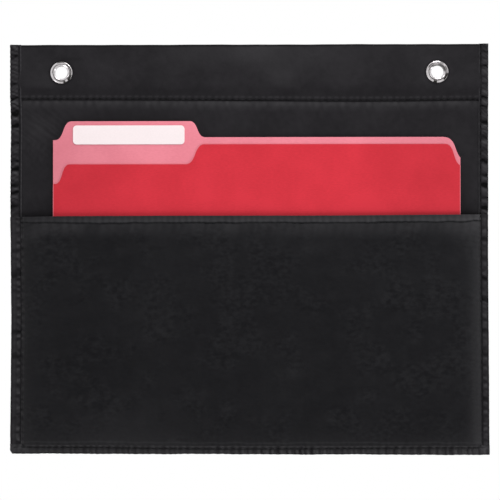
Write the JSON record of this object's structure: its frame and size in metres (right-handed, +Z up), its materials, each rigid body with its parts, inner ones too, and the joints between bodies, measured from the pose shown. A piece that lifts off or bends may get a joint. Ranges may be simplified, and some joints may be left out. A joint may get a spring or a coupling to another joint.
{
  "type": "hanging document pocket",
  "caption": "Black cloth panel that hangs from eyelets, with a sewn front pocket that holds a tabbed card folder.",
  "frame": {"origin": "midway between the centres of the two eyelets, on the plane of the eyelets' rear flanges, which is the wall", "axes": "+Z up, +Y into the wall, so the pocket faces -Y; +X to the right as seen from the front"},
  "size_m": [0.35, 0.0135, 0.3],
  "materials": {
    "black_cloth": "satin",
    "black_thread": "satin",
    "bright_nickel": "polished",
    "pink_card": "matte",
    "red_card": "matte",
    "white_paper": "matte"
  },
  "bodies": {
    "hanging_panel": {"back_panel": "black_cloth", "header_band": "black_cloth", "left_side_hem": "black_cloth", "right_side_hem": "black_cloth", "pocket_bottom_fold": "black_cloth", "pocket_left_seam": "black_cloth", "pocket_right_seam": "black_cloth", "pocket_floor": "black_cloth", "pocket_left_side": "black_cloth", "pocket_right_side": "black_cloth", "header_stitching": "black_thread", "left_hem_stitching": "black_thread", "right_hem_stitching": "black_thread", "left_seam_stitching": "black_thread", "right_seam_stitching": "black_thread", "bottom_stitching": "black_thread", "eyelet_left_grommet": "bright_nickel", "eyelet_left_washer": "bright_nickel", "eyelet_right_grommet": "bright_nickel", "eyelet_right_washer": "bright_nickel"},
    "pocket_front": {"pocket_panel": "black_cloth", "pocket_lip_hem": "black_cloth", "lip_stitching": "black_thread"},
    "folder_back": {"folder_back_leaf": "pink_card", "folder_crease": "red_card", "folder_label": "white_paper"},
    "folder_front": {"folder_front_leaf": "red_card"}
  },
  "joints": [
    {"name": "pocket_mouth", "type": "hinge", "parent": "hanging_panel", "child": "pocket_front", "pos_m": [0, -0.00918, -0.27248], "axis": [1, 0, 0], "range_deg": [0, 8], "stiffness_Nm_per_rad": 0.08, "springref_deg": -3.44},
    {"name": "folder_lift", "type": "slide", "parent": "hanging_panel", "child": "folder_back", "axis": [0, 0, 1], "range_m": [0, 0.16]},
    {"name": "folder_open", "type": "hinge", "parent": "folder_back", "child": "folder_front", "pos_m": [0, -0.0048, -0.27259], "axis": [1, 0, 0], "range_deg": [0, 8]}
  ],
  "couplings": [
    {"joint": "folder_open", "follows": "pocket_mouth", "ratio": 1}
  ]
}
